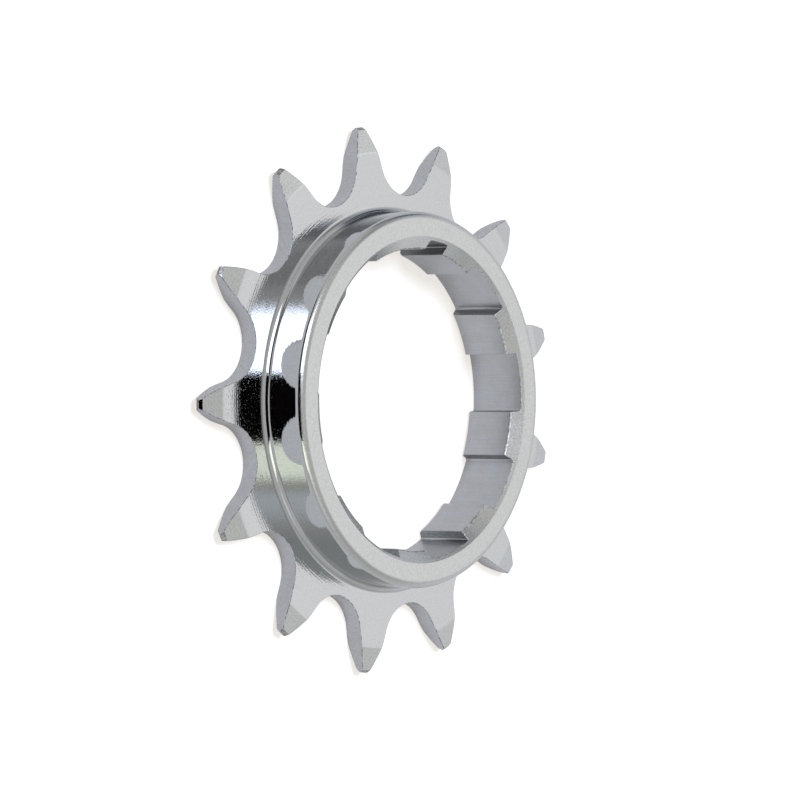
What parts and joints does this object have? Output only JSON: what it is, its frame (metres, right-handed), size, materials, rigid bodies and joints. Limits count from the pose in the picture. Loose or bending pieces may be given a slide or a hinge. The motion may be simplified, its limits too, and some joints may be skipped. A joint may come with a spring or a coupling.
{
  "type": "single speed cog",
  "caption": "Bright steel cog for one chain, with a wide collar on one side and a grooved bore with one narrow groove.",
  "frame": {"origin": "on the shaft axis, at the toothed plate's flat back face", "axes": "+Z along the shaft axis towards the collar's front face, -X through a tooth's tip"},
  "size_m": [0.0582, 0.0586, 0.0069],
  "materials": {
    "plated_steel": "satin"
  },
  "bodies": {
    "root": {"cog": "plated_steel"}
  },
  "joints": []
}
